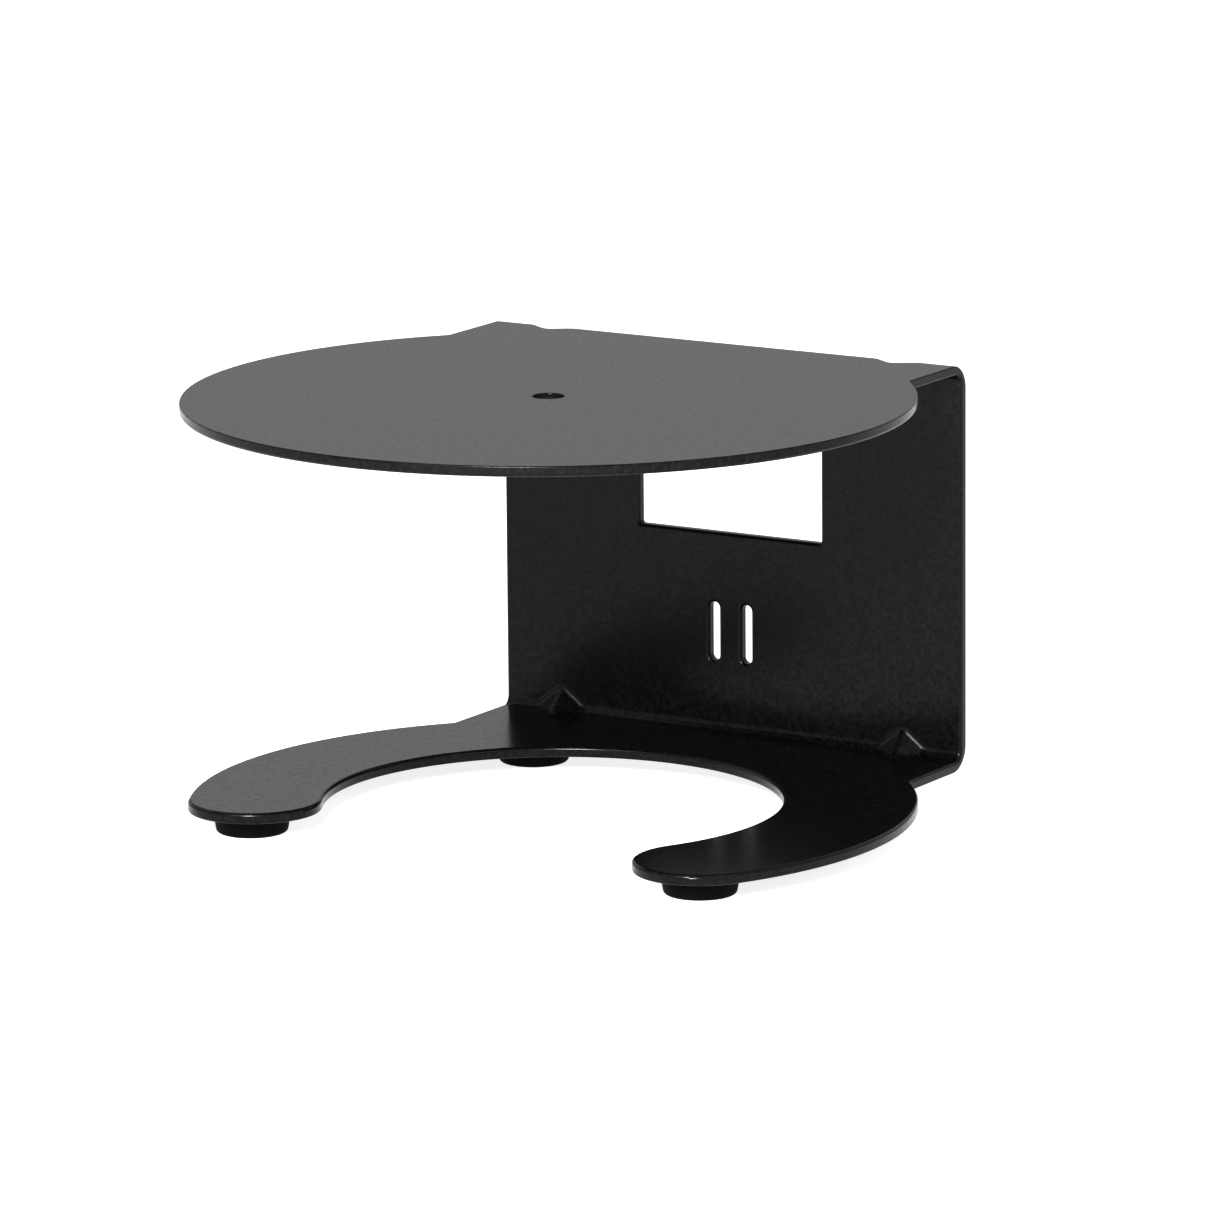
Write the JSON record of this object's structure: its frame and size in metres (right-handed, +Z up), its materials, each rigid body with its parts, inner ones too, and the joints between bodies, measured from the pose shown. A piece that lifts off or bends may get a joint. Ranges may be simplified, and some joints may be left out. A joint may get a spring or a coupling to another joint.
{
  "type": "tabletop stand",
  "caption": "C-shaped tabletop stand bent from one black steel sheet: a round platform on an upright back wall with a window, over an open horseshoe base on rubber feet.",
  "frame": {"origin": "on the axis of the round platform and its centre hole, at floor level, where the feet rest", "axes": "+Z up along the platform's axis; +Y towards the upright back wall, so the open side faces -Y; +X to the right seen from the open side"},
  "size_m": [0.2, 0.1985, 0.121],
  "materials": {
    "powder_coated_steel": "satin black powder coat with a fine grain",
    "foot_rubber": "matte black moulded rubber",
    "adhesive": "dark acrylic adhesive foam"
  },
  "bodies": {
    "root": {"stand_body": "powder_coated_steel", "foot_front_left": "foot_rubber", "foot_front_right": "foot_rubber", "foot_rear_left": "foot_rubber", "foot_rear_right": "foot_rubber", "foot_adhesive_front_left": "adhesive", "foot_adhesive_front_right": "adhesive", "foot_adhesive_rear_left": "adhesive", "foot_adhesive_rear_right": "adhesive"}
  },
  "joints": []
}
